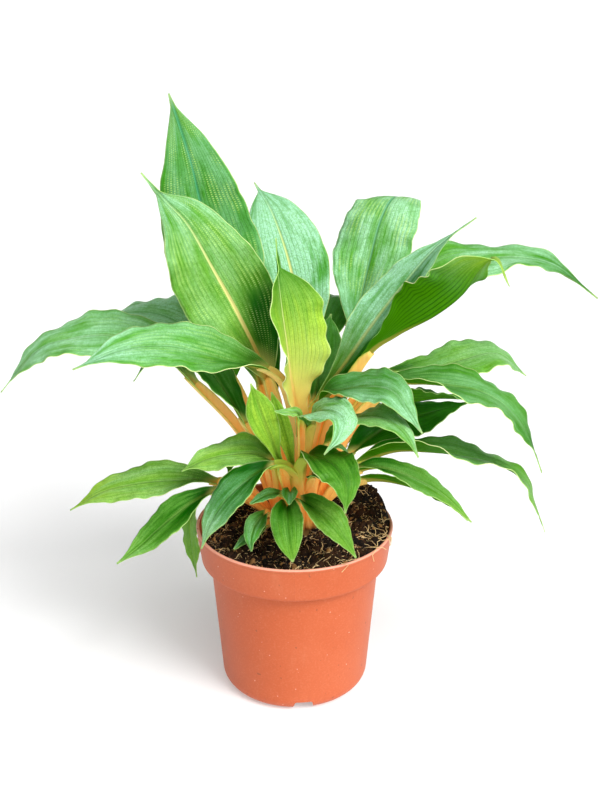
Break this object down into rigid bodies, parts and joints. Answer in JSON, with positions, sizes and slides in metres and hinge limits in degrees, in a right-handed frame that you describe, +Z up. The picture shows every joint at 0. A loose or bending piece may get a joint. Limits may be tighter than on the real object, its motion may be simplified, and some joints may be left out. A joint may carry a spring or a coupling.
{
  "type": "potted mandarin plant",
  "caption": "Potted mandarin plant: a clump of waved green leaves on orange stalks, in soil in a round terracotta coloured plastic pot.",
  "frame": {"origin": "middle of the pot's underside, on the plane it stands on", "axes": "+Z up, -Y to the plant's front, +X to the plant's right as seen from its front"},
  "size_m": [0.3688, 0.2153, 0.3562],
  "materials": {
    "pot_plastic": "satin terracotta coloured plastic",
    "soil": "moist dark peat with fibre",
    "stalk_orange": "smooth fleshy orange stalk",
    "leaf_green": "satin green leaf with fine parallel veins"
  },
  "bodies": {
    "root": {"pot": "pot_plastic", "soil": "soil", "stalks": "stalk_orange", "blade_tall_back_left": "leaf_green", "blade_tall_left": "leaf_green", "blade_tall_back": "leaf_green", "blade_young_centre": "leaf_green", "blade_dark_back": "leaf_green", "blade_tall_right": "leaf_green", "blade_long_right": "leaf_green", "blade_arched_right": "leaf_green", "blade_far_right": "leaf_green", "blade_broad_left": "leaf_green", "blade_far_left": "leaf_green", "blade_back_left": "leaf_green", "blade_narrow_left": "leaf_green", "blade_curled_left": "leaf_green", "blade_low_left": "leaf_green", "blade_low_front_left": "leaf_green", "blade_hanging_left": "leaf_green", "blade_erect_left": "leaf_green", "blade_erect_front": "leaf_green", "blade_mint_front": "leaf_green", "blade_pale_strip": "leaf_green", "blade_front_left": "leaf_green", "blade_front_right": "leaf_green", "blade_front_dark": "leaf_green", "blade_front_tongue": "leaf_green", "blade_front_low": "leaf_green", "blade_small_front_left": "leaf_green", "blade_small_left": "leaf_green", "blade_small_narrow": "leaf_green", "blade_small_tip": "leaf_green", "blade_arch_front_right": "leaf_green", "blade_under_front_right": "leaf_green", "blade_mid_right_back": "leaf_green", "blade_mid_right": "leaf_green", "blade_mid_right_under": "leaf_green", "blade_dark_right": "leaf_green", "blade_low_right_long": "leaf_green", "blade_low_right": "leaf_green", "blade_low_right_under": "leaf_green", "blade_small_right": "leaf_green", "blade_low_back_right": "leaf_green", "blade_back_high": "leaf_green", "blade_back_mid": "leaf_green", "blade_back_low": "leaf_green", "blade_back_low_left": "leaf_green"}
  },
  "joints": []
}
